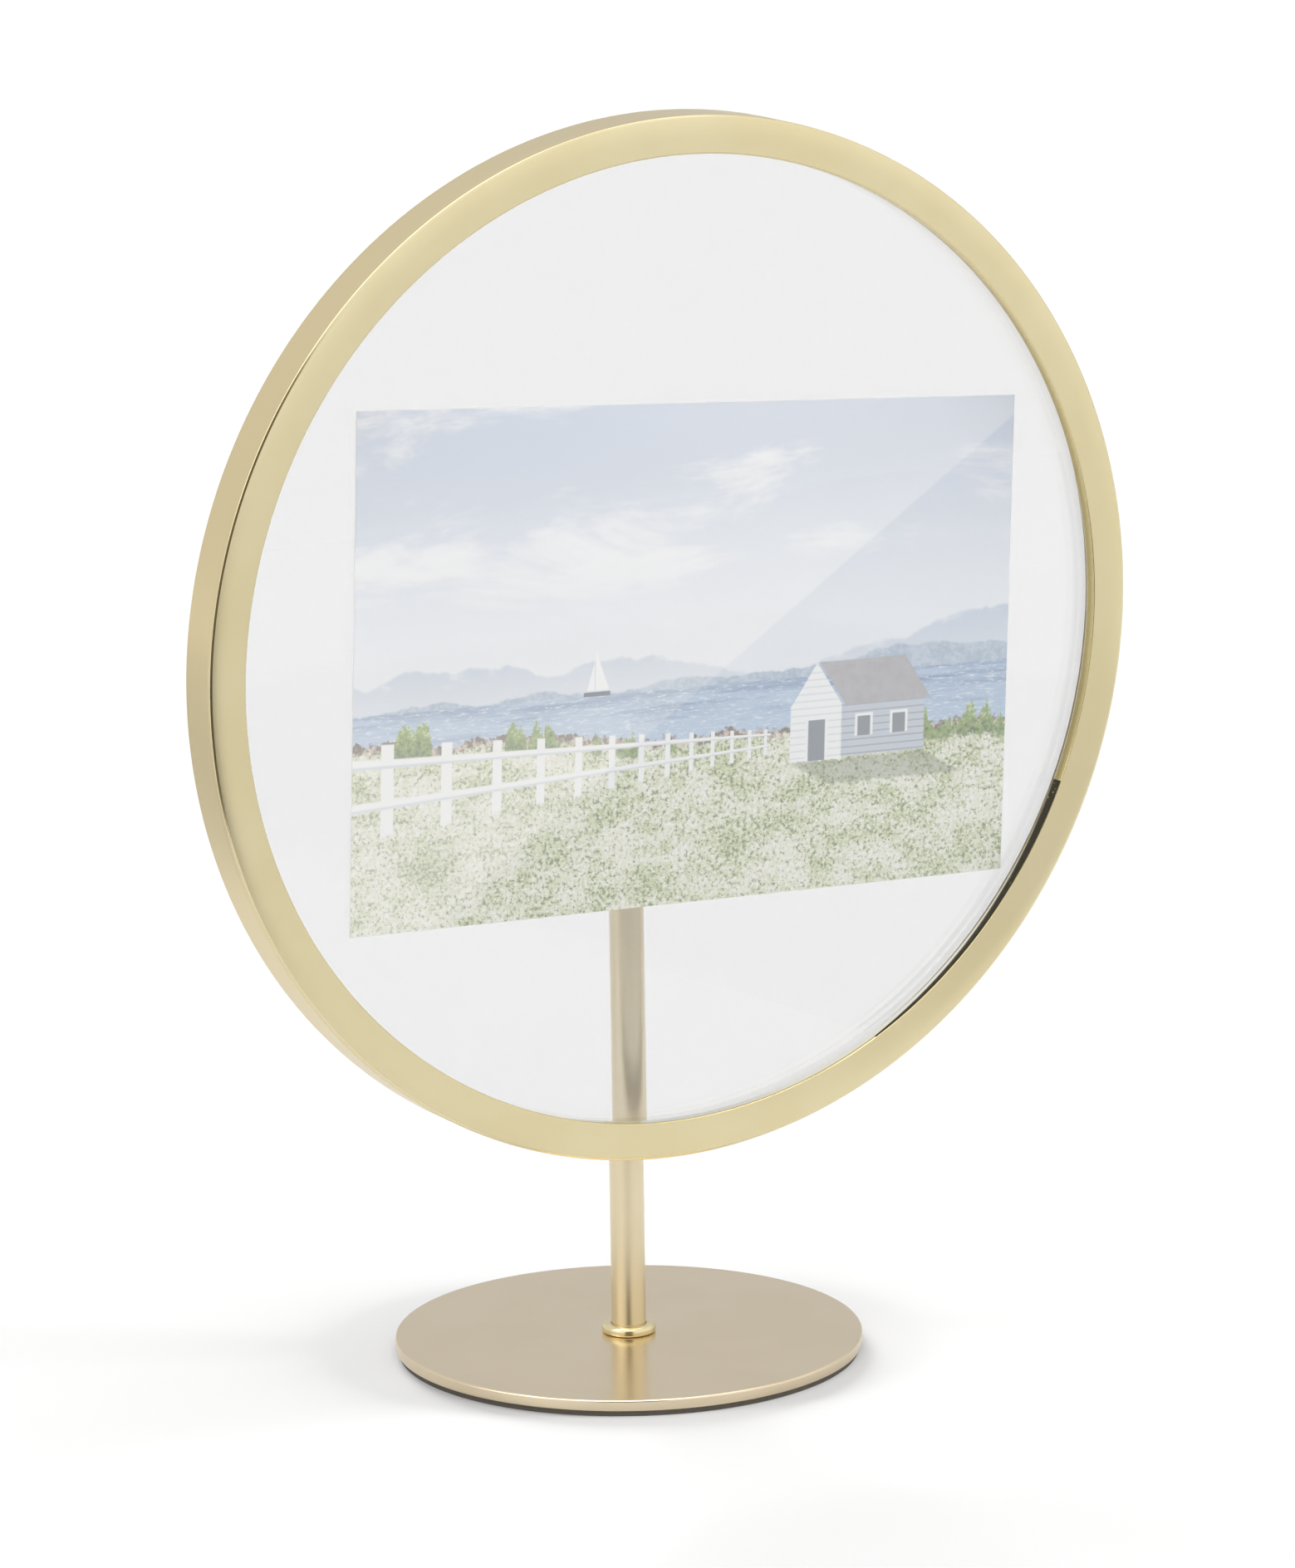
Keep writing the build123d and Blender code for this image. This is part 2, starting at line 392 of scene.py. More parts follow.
# Zones of the ring: its outer wall, painted a little darker and warmer than the face as painted shade; the rim of the
# face that is rubbed smoother; and the polished return lip, painted darker as painted shade of its recess and darker
# still towards its rear, with a light painted reflection of the glass along its rear seam and nearly all over at the
# bottom.
# Pairs are a zone's soft edge.
ringZones = {
    "wall": linear(215, 199, 157), "wallIn": (0.2 * mm, 0.1 * mm), "wallDeep": (0.45 * mm, 0.6 * mm),
    "rimRough": 0.17, "rimIn": (0.6 * mm, 0.42 * mm), "rimDeep": (0.48 * mm, 0.66 * mm),
    "lip": linear(208, 192, 142), "lipShadedRear": linear(184, 168, 116), "lipRough": 0.12,
    "lipOut": (0.02 * mm, 0.35 * mm), "lipShadeDeep": (0.5 * mm, 1.5 * mm),
    "seamReflection": linear(252, 249, 236), "reflectionDeep": (2.35 * mm, 2.55 * mm), "reflectionMore": 1.75 * mm,
    "reflectionBelow": (0.05, 0.075),
}


def ringPaint():
    s = ringZones
    paint = Paint("satin_brass_ring")
    tone, roughness, grain = satin(paint, "satin_brass")
    x, y, z = paint.parts(paint.place())
    across = x - ringMiddle.x
    above = z - ringMiddle.z
    radius = (across * across + above * above) ** 0.5
    deep = y - ringLow[1]
    # the outer wall is painted a little darker and warmer than the face: painted shade
    wall = paint.step(radius, *(ringRadius - back for back in s["wallIn"])) * paint.step(deep, *s["wallDeep"])
    tone = paint.mix(wall, tone, s["wall"])
    opening = ringRadius - ringShape["faceWidth"] * mm
    # the lip painted darker than the ring, and darker still towards its rear: painted shade of the recess
    inside = 1 - paint.step(radius, *(opening + out for out in s["lipOut"]))
    tone = paint.mix(inside, tone, paint.mix(paint.step(deep, *s["lipShadeDeep"]), s["lip"], s["lipShadedRear"]))
    # painted reflection of the glass: light along the lip's rear and nearly all over its bottom
    low = paint.step(-above, *s["reflectionBelow"])
    behind = paint.step(deep + low * s["reflectionMore"], *s["reflectionDeep"])
    tone = paint.mix(inside * behind, tone, s["seamReflection"])
    roughness = roughness * (1 - inside) + inside * s["lipRough"]
    rim = paint.step(radius, *(ringRadius - back for back in s["rimIn"])) * (1 - paint.step(deep, *s["rimDeep"]))
    roughness = roughness * (1 - rim) + rim * s["rimRough"]
    return paint.finish(paint.body(Base_Color=tone, Metallic=1.0, Roughness=roughness, Normal=grain))


# Glass

glass = {"frontTint": linear(251, 251, 251), "rearTint": linear(235, 235, 235), "index": 1.5}


def glassPaint(name, tint):
    paint = Paint(name)
    clear = paint.body(Base_Color=tint, Roughness=0.0, IOR=glass["index"], Transmission_Weight=1.0)
    through = paint.node("ShaderNodeBsdfTransparent", {}, {"Color": white})
    shadow = paint.node("ShaderNodeLightPath", output="Is Shadow Ray")
    mixed = paint.node("ShaderNodeMixShader", {}, {0: shadow, 1: clear, 2: through})
    return paint.finish(mixed)


# Plain materials: two tones, speckle scale, roughness, metallic, bump depth in metres, and the nodes they dress

speckled = {"detail": 3, "noiseRough": 0.6, "roughSpread": 0.1}
plainMaterials = {
    "black_foam": (linear(80, 75, 66), linear(100, 94, 84), 900, 0.75, 0.0, 0.00001, ("base_pad", "ring_gasket")),
    "plain_steel": (linear(196, 198, 200), linear(176, 178, 182), 700, 0.35, 1.0, 0.000002,
                    ("keeper_ring", "foot_plug", "base_screw")),
    "nickel_plate": (linear(220, 218, 212), linear(206, 204, 198), 500, 0.2, 1.0, 0.000001, ("hoop_magnets",)),
    "hoop_plastic": (linear(182, 168, 128), linear(172, 157, 118), 1200, 0.4, 0.0, 0.00001, ("magnet_hoop",)),
    "clear_adhesive": (linear(226, 228, 226), linear(214, 217, 215), 300, 0.3, 0.0, 0.00001, ("bond_pad",)),
}


def plainPaint(name, first, second, scale, rough, metal, depth):
    paint = Paint(name)
    speckle = paint.noise(paint.place(), scale, speckled["detail"], speckled["noiseRough"])
    shine = paint.body(Base_Color=paint.mix(speckle, first, second), Metallic=metal,
                       Roughness=rough + (speckle - 0.5) * speckled["roughSpread"],
                       Normal=paint.bump(speckle, depth))
    return paint.finish(shine)


makeRing(ringPaint())
spunOnTable("base_disc", "base_plate", baseOutline, baseShape["steps"], brassPaint("base_brass"))
spunOnTable("foot_bead", "pole_collar", beadOutline, beadShape["steps"],
            brassPaint("satin_brass_bead"))
makePole(brassPaint("satin_brass_pole"))
dress("mount_disc", brassPaint("satin_brass"))
dress("front_pane", glassPaint("clear_glass_front", glass["frontTint"]))
dress("back_pane", glassPaint("clear_glass_rear", glass["rearTint"]))
for name, (*settings, nodes) in plainMaterials.items():
    material = plainPaint(name, *settings)
    for node in nodes:
        dress(node, material)
print("metal, glass and foam done")


# Black edge tape on the lower right of the return lip, narrower toward its lower end

tape = {
    "from": -63, "to": -23.7, "steps": 120,      # degrees round the ring
    "thick": 0.12, "gap": 0.01, "bevel": 0.05, "front": 0.08, "rear": 2.62, "rearLow": 0.5,      # mm
    "taper": 0.65,
}
# worn to olive along its rear edge, more so toward the bottom
tapeLook = {
    "dark": linear(38, 35, 22), "dusty": linear(62, 57, 40), "speck": linear(176, 168, 140),
    "worn": linear(118, 112, 88), "fleck": 900, "fleckEdge": (0.1, 0.22),
    "dust": 260, "dustDetail": 3, "dustEdge": (0.56, 0.66),
    "wornDeep": (2.2 * mm, 2.4 * mm), "wornMore": 1.3 * mm, "wornRagged": 0.3 * mm, "wornBelow": (0.035, 0.088),
    "rough": 0.4, "roughSpread": 0.2, "specular": 0.2, "bumpDepth": 0.00002,
}


def tapePaint():
    s = tapeLook
    paint = Paint("black_tape")
    place = paint.place()
    dust = paint.noise(place, s["dust"], s["dustDetail"])
    speck = (1 - paint.step(paint.spots(place, s["fleck"]), *s["fleckEdge"])) * paint.step(dust, *s["dustEdge"])
    tone = paint.mix(speck, paint.mix(dust, s["dark"], s["dusty"]), s["speck"])
    x, y, z = paint.parts(place)
    low = paint.step(ringMiddle.z - z, *s["wornBelow"])
    worn = paint.step(y - ringLow[1] + low * s["wornMore"] + (dust - 0.5) * s["wornRagged"], *s["wornDeep"])
    tone = paint.mix(worn, tone, s["worn"])
    shine = paint.body(Base_Color=tone, Roughness=s["rough"] + dust * s["roughSpread"],
                       Specular_IOR_Level=s["specular"], Normal=paint.bump(dust, s["bumpDepth"]))
    return paint.finish(shine)


def makeTape():
    s = tape
    outer = ringRadius / mm - ringShape["faceWidth"] - s["gap"]
    inner = outer - s["thick"]
    origin = Vector((ringMiddle.x, ringLow[1], ringMiddle.z))
    points, faces = [], []
    for i in range(s["steps"] + 1):
        done = i / s["steps"]
        angle = math.radians(s["from"] + (s["to"] - s["from"]) * done)
        rear = s["rearLow"] + (s["rear"] - s["rearLow"]) * done ** s["taper"]
        section = [(outer, s["front"]), (outer, rear), (inner, rear - s["bevel"]), (inner, s["front"] + s["bevel"])]
        spoke = eastward * math.cos(angle) + upward * math.sin(angle)
        points += [origin + (spoke * across + northward * deep) * mm for across, deep in section]
    for i in range(s["steps"]):
        for k in range(4):
            n = (k + 1) % 4
            faces.append((i * 4 + k, i * 4 + n, i * 4 + 4 + n, i * 4 + 4 + k))
    last = s["steps"] * 4
    faces += [(3, 2, 1, 0), (last, last + 1, last + 2, last + 3)]
    mesh = bpy.data.meshes.new("lip_tape")
    mesh.from_pydata(points, [], faces)
    mesh.materials.append(tapePaint())
    piece = placed("lip_tape", mesh)
    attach(piece, "ring_front")


makeTape()


# Print: a generic lakeside view, washed out by a painted glare

printed = {
    "turn": 2.3,                                      # degrees clockwise, as it lies between the panes
    "length": 152.4 * mm, "width": 101.6 * mm,
    "leftRise": 3.3 * mm, "rightFall": 2.6 * mm,      # its upper edge was trimmed a little askew
    "frontGap": 0.01 * mm, "rearGap": 0.03 * mm,      # clear of the panes on both sides
    "back": linear(240, 240, 236), "frontEdge": (0.4, 0.6),
    "gloss": 260, "glossDetail": 2, "rough": 0.32, "roughSpread": 0.06, "specular": 0.4, "bumpDepth": 0.00001,
}
# Noise patterns: scale across, lean, scale up, row, layer, detail, roughness, distortion. One without a scale up
# runs along its row.
patterns = {
    "billow": (3.0, 0, 6.0, 0, 2.4, 9, 0.62, 0.4), "wisp": (9, 0, 22, 0, 8, 6, 0.65, 0),
    "farRise": (2.6, 0, 0, 7.3, 0, 7, 0.55, 0), "nearRise": (4.2, 0, 0, 1.9, 4, 8, 0.6, 0),
    "shade": (26, 9, 30, 0, 3, 6, 0.65, 0), "wood": (120, 0, 90, 0, 5, 4, 0.7, 0),
    "ripple": (60, 0, 190, 0, 0, 5, 0.75, 0), "swell": (5, 0, 60, 0, 6, 4, 0.6, 0),
    "bank": (5, 0, 0, 3.3, 0, 8, 0.65, 0), "stone": (66, 0, 44, 0, 2, 5, 0.7, 0),
    "blades": (190, 0, 120, 0, 1, 3, 0.75, 0), "tuft": (85, 0, 60, 0, 4, 5, 0.8, 0),
    "clump": (13, 0, 12, 0, 7, 6, 0.7, 0), "leaves": (110, 0, 73, 0, 9, 4, 0.8, 0),
    "mound": (10, 0, 0, 5.5, 1, 6, 0.6, 0),
}


class Picture(Paint):
    # laid down motif by motif from far to near; u runs to the right and v up, 0 to 1 over the sheet
    def __init__(self, name):
        super().__init__(name)
        x, y, z = self.parts(self.place())
        centre = middle("photo_print")
        turn = math.radians(printed["turn"])
        across = x - centre.x
        above = z - centre.z
        self.u = (across * math.cos(turn) - above * math.sin(turn)) / printed["length"] + 0.5
        self.v = (across * math.sin(turn) + above * math.cos(turn)) / printed["width"] + 0.5
        self.tone = None
        self.made = {}

    def pattern(self, name):
        if name not in self.made:
            across, lean, up, row, layer, detail, rough, distort = patterns[name]
            point = self.join(self.u * across + self.v * lean, self.v * up + row, layer)
            self.made[name] = self.noise(point, 1.0, detail, rough, distort)
        return self.made[name]

    def ragged(self, name, size):
        # a pattern about zero, which frays an edge or a tone
        return (self.pattern(name) - 0.5) * size

    def over(self, value, soft):
        return self.step(value, -soft, soft)

    def under(self, value, soft):
        return 1 - self.step(value, -soft, soft)

    def lay(self, mask, colour):
        self.tone = self.mix(mask, self.tone, colour)


# Heights and places of the motifs are shares of the sheet. Pairs are the soft edge of a mask.

sky = {
    "low": linear(246, 248, 251), "top": linear(212, 221, 236), "height": (0.47, 1.0),
    "cloud": linear(254, 254, 254), "wisps": 0.12, "cloudEdge": (0.5, 0.66), "cloudHeight": (0.5, 0.72), "cover": 0.9,
}


def laySky(picture):
    s, v = sky, picture.v
    picture.tone = picture.mix(picture.step(v, *s["height"]), s["low"], s["top"])
    puff = picture.step(picture.pattern("billow") + picture.ragged("wisp", s["wisps"]), *s["cloudEdge"])
    puff = puff * picture.step(v, *s["cloudHeight"])
    picture.lay(puff * s["cover"], s["cloud"])


hills = {
    "far": linear(206, 217, 230), "snow": linear(236, 240, 245), "near": linear(178, 194, 210),
    "farHeight": 0.475, "farMean": 0.42, "farRise": 0.36, "farSoft": 0.004, "snowSlope": 4, "snowEdge": (0.45, 0.7),
    "haze": (0.42, 0.56), "farCover": 0.35, "farMore": 0.6,
    "nearHeight": 0.452, "nearRise": 0.12, "nearTilt": 0.05, "nearSoft": 0.003, "woodEdge": (0.4, 0.6),
}


def layHills(picture):
    # two ranges: a snowy one that fades into the haze below, and a wooded one
    s, u, v = hills, picture.u, picture.v
    shade = picture.pattern("shade")
    ridge = s["farHeight"] + (picture.pattern("farRise") - s["farMean"]) * s["farRise"]
    snow = picture.step(shade + (v - ridge) * s["snowSlope"], *s["snowEdge"])
    cover = s["farCover"] + picture.step(v, *s["haze"]) * s["farMore"]
    picture.lay(picture.under(v - ridge, s["farSoft"]) * cover, picture.mix(snow, s["far"], s["snow"]))
    ridge = s["nearHeight"] + picture.ragged("nearRise", s["nearRise"]) + (u - 0.5) * s["nearTilt"]
    wood = picture.step(shade * 0.5 + picture.pattern("wood") * 0.5, *s["woodEdge"])
    picture.lay(picture.under(v - ridge, s["nearSoft"]), picture.mix(wood, s["near"], s["far"]))


lake = {
    "shore": 0.435, "soft": 0.002,
    "tone": linear(186, 206, 228), "deep": linear(124, 152, 188), "light": linear(244, 249, 254),
    "deepSlope": 3, "deepEdge": (0.3, 0.62), "rippleEdge": (0.5, 0.66), "rippleCover": 0.85, "leftGlare": 0.25,
}


def layLake(picture):
    # deeper in tone towards the far shore, paler towards the left
    s, u, v = lake, picture.u, picture.v
    deep = picture.step(picture.pattern("swell") + (v - s["shore"]) * s["deepSlope"], *s["deepEdge"])
    water = picture.mix(deep, s["tone"], s["deep"])
    ripple = picture.step(picture.pattern("ripple"), *s["rippleEdge"])
    water = picture.mix(ripple * s["rippleCover"], water, s["light"])
    water = picture.mix((1 - u) * s["leftGlare"], water, s["light"])
    picture.lay(picture.under(v - s["shore"], s["soft"]), water)


# Heights are above the waterline, lengths from the mast
boat = {
    "mast": 0.36, "waterline": 0.44, "sails": linear(255, 255, 253), "hull": linear(104, 112, 122),
    "sailHigh": (0.006, 0.085), "sailLong": (-0.0005, 0.021), "sailLean": 0.26, "sailEdge": (0.021, 0.0225),
    "jibHigh": (0.006, 0.07), "jibLong": (-0.016, -0.002), "jibLean": -0.2, "jibEdge": (-0.0155, -0.014),
    "hullHigh": (-0.006, 0.003), "hullLong": (-0.018, 0.022), "soft": 0.001, "sailSoft": 0.0008,
}


def layBoat(picture):
    s = boat
    along, high = picture.u - s["mast"], picture.v - s["waterline"]
    sail = picture.band(high, *s["sailHigh"], s["soft"]) * picture.band(along, *s["sailLong"], s["sailSoft"])
    sail = sail * (1 - picture.step(along + high * s["sailLean"], *s["sailEdge"]))
    jib = picture.band(high, *s["jibHigh"], s["soft"]) * picture.band(along, *s["jibLong"], s["sailSoft"])
    jib = jib * picture.step(along + high * s["jibLean"], *s["jibEdge"])
    picture.lay(sail + jib, s["sails"])
    hull = picture.band(high, *s["hullHigh"], s["soft"]) * picture.band(along, *s["hullLong"], s["soft"])
    picture.lay(hull, s["hull"])


bank = {"height": 0.36, "roll": 0.1, "fall": 0.06}
rocks = {
    "light": linear(226, 208, 194), "dark": linear(128, 112, 98), "over": 0.016, "ragged": 0.06, "soft": 0.003,
    "edge": (0.44, 0.56),
}
# Three noises share in the dark specks: tufts, blades and clumps
meadow = {
    "tone": linear(243, 242, 222), "grass": linear(214, 220, 172), "grassRagged": 0.6, "grassEdge": (0.4, 0.62),
    "speck": linear(112, 124, 84), "shares": {"tuft": 0.22, "blades": 0.6, "clump": 0.2},
    "speckEdge": (0.525, 0.59), "speckCover": 0.85,
    "bloom": linear(255, 255, 252), "bloomClumps": 0.3, "bloomEdge": (0.54, 0.61), "bloomCover": 0.9,
    "ragged": 0.06, "soft": 0.004,
}


def bankLine(picture):
    return bank["height"] + picture.ragged("bank", bank["roll"]) - picture.u * bank["fall"]


def layBank(picture):
    # rocky bank and meadow
    over = picture.v - bankLine(picture)
    s = rocks
    stone = picture.pattern("stone")
    mask = picture.under(over - s["over"] + picture.ragged("stone", s["ragged"]), s["soft"])
    picture.lay(mask, picture.mix(picture.step(stone, *s["edge"]), s["dark"], s["light"]))
    s = meadow
    grass = picture.step(picture.pattern("clump") + picture.ragged("tuft", s["grassRagged"]), *s["grassEdge"])
    tone = picture.mix(grass, s["tone"], s["grass"])
    tuft, blades, clump = (picture.pattern(name) * share for name, share in s["shares"].items())
    tone = picture.mix(picture.step(tuft + blades + clump, *s["speckEdge"]) * s["speckCover"], tone, s["speck"])
    bloom = 1 - picture.pattern("blades") - picture.ragged("clump", s["bloomClumps"])
    tone = picture.mix(picture.step(bloom, *s["bloomEdge"]) * s["bloomCover"], tone, s["bloom"])
    picture.lay(picture.under(over + picture.ragged("tuft", s["ragged"]), s["soft"]), tone)


hedge = {
    "dark": linear(78, 96, 52), "leaf": linear(150, 172, 92), "light": linear(226, 234, 170),
    "crownEdge": (0.45, 0.62), "crown": 0.1, "crownFrom": (0.006, 0.016), "sink": 0.012,
    "leafRagged": 0.07, "soft": 0.003, "footRagged": 0.05, "footEdge": (-0.014, 0.0),
    "lightSlope": 14, "lightLeaves": 3.2, "lightTufts": 2.0, "leafEdge": (-0.7, 0.05), "lightEdge": (0.05, 0.8),
    "cover": 0.96,
}


def layHedge(picture):
    # bushes along the bank, lit from above
    s = hedge
    crown = picture.step(picture.pattern("mound"), *s["crownEdge"]) * s["crown"]
    over = picture.v - bankLine(picture) + s["sink"]
    mask = picture.under(over - crown + picture.ragged("leaves", s["leafRagged"]), s["soft"])
    mask = mask * picture.step(over + picture.ragged("tuft", s["footRagged"]), *s["footEdge"])
    mask = mask * picture.step(crown, *s["crownFrom"])
    light = (over - crown * 0.5) * s["lightSlope"]
    light = light + picture.ragged("leaves", s["lightLeaves"]) + picture.ragged("tuft", s["lightTufts"])
    tone = picture.mix(picture.step(light, *s["leafEdge"]), s["dark"], s["leaf"])
    tone = picture.mix(picture.step(light, *s["lightEdge"]), tone, s["light"])
    picture.lay(mask * s["cover"], tone)


house = {
    "left": 0.66, "corner": 0.74, "right": 0.87, "foot": 0.262, "eaves": 0.375, "ridge": 0.462, "soft": 0.0012,
    "wall": linear(255, 255, 253), "shaded": linear(208, 214, 222), "roof": linear(184, 178, 178),
    "dark": linear(104, 112, 122), "shadow": linear(112, 124, 84),
    "shadowLean": 1.2, "shadowDepth": 0.05, "shadowSoft": 0.006, "shadowFootSoft": 0.004, "shadowCover": 0.45,
    "grass": 0.03, "footSoft": 0.001, "gableSlope": 2.2, "gableSoft": 0.002,
    "boards": 70, "boardEdge": 0.78, "boardCover": 0.4,
    "sideGrass": 0.02, "sideFoot": 0.004, "sideTop": 0.005, "sideSoft": 0.0015,
    "roofSlope": 0.46, "roofLeft": 0.004, "roofRight": 0.008, "overhang": 0.004,
    "slateEdge": (0.3, 0.7), "slateCover": 0.35,
    # left, right, bottom and top of the door and two windows
    "openings": ((0.688, 0.714, 0.262, 0.345), (0.765, 0.785, 0.305, 0.345), (0.82, 0.84, 0.305, 0.345)),
    "casing": 0.004, "lintel": 0.006, "openingSoft": 0.001, "openingCover": 0.85,
}


def layHouse(picture):
    # boathouse with its shadow: a gable end and a long side under one roof
    s, u, v = house, picture.u, picture.v
    onGrass = v + picture.ragged("tuft", s["grass"])
    shadow = picture.band(u - (s["foot"] - v) * s["shadowLean"], s["left"], s["right"], s["shadowSoft"])
    shadow = shadow * picture.band(onGrass, s["foot"] - s["shadowDepth"], s["foot"], s["shadowFootSoft"])
    picture.lay(shadow * s["shadowCover"], s["shadow"])
    boards = ((v * s["boards"]).fraction() > s["boardEdge"]) * s["boardCover"]
    gable = picture.band(u, s["left"], s["corner"], s["soft"]) * picture.over(onGrass - s["foot"], s["footSoft"])
    fromPeak = abs(u - (s["left"] + s["corner"]) / 2)
    gable = gable * picture.under(v - s["ridge"] + fromPeak * s["gableSlope"], s["gableSoft"])
    picture.lay(gable, picture.mix(boards, s["wall"], s["shaded"]))
    side = picture.band(u, s["corner"], s["right"], s["soft"])
    side = side * picture.band(v + picture.ragged("tuft", s["sideGrass"]), s["foot"] + s["sideFoot"],
                               s["eaves"] + s["sideTop"], s["sideSoft"])
    picture.lay(side, picture.mix(boards, s["shaded"], s["dark"]))
    slope = (v - s["eaves"]) * s["roofSlope"]
    roof = picture.band(v, s["eaves"] - s["overhang"], s["ridge"], s["sideSoft"])
    roof = roof * picture.over(u - s["corner"] - s["roofLeft"] + slope, s["soft"])
    roof = roof * picture.under(u - s["right"] - s["roofRight"] + slope, s["soft"])
    slates = picture.step(picture.pattern("stone"), *s["slateEdge"]) * s["slateCover"]
    picture.lay(roof, picture.mix(slates, s["roof"], s["shaded"]))
    for left, right, low, high in s["openings"]:
        soft = s["openingSoft"]
        casing = picture.band(u, left - s["casing"], right + s["casing"], soft)
        casing = casing * picture.band(v, low, high + s["lintel"], soft)
        picture.lay(casing, s["wall"])
        hole = picture.band(u, left, right, soft) * picture.band(v, low, high, soft)
        picture.lay(hole * s["openingCover"], s["dark"])


# Rails and pickets, in shares of the fence's height
fence = {
    "end": 0.63, "top": 0.335, "topRise": 0.045, "foot": 0.285, "footFall": 0.1,
    "pickets": 22, "picketNear": 0.9, "picketWide": 0.2, "grass": 0.3, "grassTop": 0.4,
    "rails": ((0.3, 0.4), (0.74, 0.84)), "litRails": ((0.3, 0.33), (0.74, 0.77)), "soft": 0.012, "litSoft": 0.01,
    "lit": 0.6, "wall": linear(255, 255, 253), "shaded": linear(208, 214, 222),
}


def layFence(picture):
    # runs from the lower left to the boathouse
    s, u, v = fence, picture.u, picture.v
    nearer = (s["end"] - u) / s["end"]
    top = s["top"] + nearer * s["topRise"]
    foot = s["foot"] - nearer * s["footFall"]
    rung = (v - foot) / (top - foot)
    picket = (s["pickets"] / (s["picketNear"] + nearer)).fraction() < s["picketWide"]
    grass = picture.ragged("tuft", s["grass"]) * (rung < s["grassTop"])
    picket = picket * picture.band(rung + grass, 0.0, 1.0, s["soft"])
    lower, upper = (picture.band(rung, low, high, s["soft"]) for low, high in s["rails"])
    litLow, litHigh = (picture.band(rung, low, high, s["litSoft"]) for low, high in s["litRails"])
    tone = picture.mix((litLow + litHigh) * s["lit"], s["wall"], s["shaded"])
    picture.lay(picket.larger(lower + upper) * (nearer > 0), tone)


# Painted glare on the sheet: a pale painted reflection left of a slanting line, stronger further right and in the
# lower left corner, painted shade beyond the line, and a thin painted veil of light over the whole sheet
paintedGlare = {
    "glareSlope": 1.05, "glareEdge": (0.11, 0.12), "glareShade": linear(178, 192, 212), "glareShadeCover": 0.12,
    "light": linear(254, 254, 254), "glareCover": 0.13, "rightEdge": (0.2, 0.7), "rightMore": 0.14,
    "lowEdge": (0.2, 0.45), "leftEdge": (0.2, 0.6), "cornerMore": 0.2, "cover": 0.06,
}


def layPaintedGlare(picture):
    s, u, v = paintedGlare, picture.u, picture.v
    # painted reflection: a pale band over the sheet left of a slanting line, with painted shade beyond it
    glareBand = 1 - picture.step(u * s["glareSlope"] - v, *s["glareEdge"])
    picture.lay((1 - glareBand) * s["glareShadeCover"], s["glareShade"])
    corner = (1 - picture.step(v, *s["lowEdge"])) * (1 - picture.step(u, *s["leftEdge"]))
    pale = picture.step(u, *s["rightEdge"]) * s["rightMore"] + corner * s["cornerMore"]
    picture.lay(glareBand * (s["glareCover"] + pale), s["light"])
    picture.lay(s["cover"], s["light"])


def printPaint():
    s = printed
    picture = Picture("photo_paper")
    for motif in (laySky, layHills, layLake, layBoat, layBank, layHedge, layHouse, layFence, layPaintedGlare):
        motif(picture)
    # plain paper behind and at the edges
    front = picture.step(-picture.parts(picture.facing())[1], *s["frontEdge"])
    gloss = picture.noise(picture.place(), s["gloss"], s["glossDetail"])
    shine = picture.body(Base_Color=picture.mix(front, s["back"], picture.tone),
                         Roughness=s["rough"] + gloss * s["roughSpread"], Specular_IOR_Level=s["specular"],
                         Normal=picture.bump(gloss, s["bumpDepth"]))
    return picture.finish(shine)


def makeSheet(material):
    s = printed
    low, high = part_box("photo_print")
    centre = middle("photo_print")
    turn = math.radians(s["turn"])
    along = Vector((math.cos(turn), 0, -math.sin(turn)))
    rise = Vector((math.sin(turn), 0, math.cos(turn)))
    halfLong, halfHigh = s["length"] / 2, s["width"] / 2
    outline = ((-halfLong, -halfHigh), (halfLong, -halfHigh),
               (halfLong, halfHigh - s["rightFall"]), (-halfLong, halfHigh + s["leftRise"]))
    points = []
    for y in (low[1] + s["frontGap"], high[1] - s["rearGap"]):
        points += [Vector((centre.x, y, centre.z)) + along * a + rise * b for a, b in outline]
    faces = [(0, 1, 2, 3), (7, 6, 5, 4)] + [(i, (i + 1) % 4, (i + 1) % 4 + 4, i + 4) for i in range(4)]
    finePiece("print_sheet", points, faces, "photo_print", "stand", material)


makeSheet(printPaint())
print("print done")


# Table, light and surroundings

room = {
    "floorHalf": 7.0, "floorColour": 0.381, "floorGlow": 0.1,
    "worldBack": 0.7, "worldRise": 0.18, "worldFront": 1.15, "sky": 1.0,
    "frontEdge": (-0.5, 0.5), "highEdge": (0.38, 0.48), "leftEdge": (-0.2, 0.1),
    # lamps: power, angle across in degrees, where from, whether they light the table alone
    "lamps": {"key": (0.8, 22, (0.32, -0.19, 0.93), False), "back": (6.5, 26, (0.22, 0.93, 0.31), True),
              "side": (10.5, 16, (0.83, -0.55, 0.115), True), "left": (4.2, 14, (-0.95, 0.3, 0.18), True)},
}


def lying(height, *corners):
    return [(x, y, height) for x, y in corners]


def upright(start, end, low, high):
    return [(*start, low), (*end, low), (*end, high), (*start, high)]


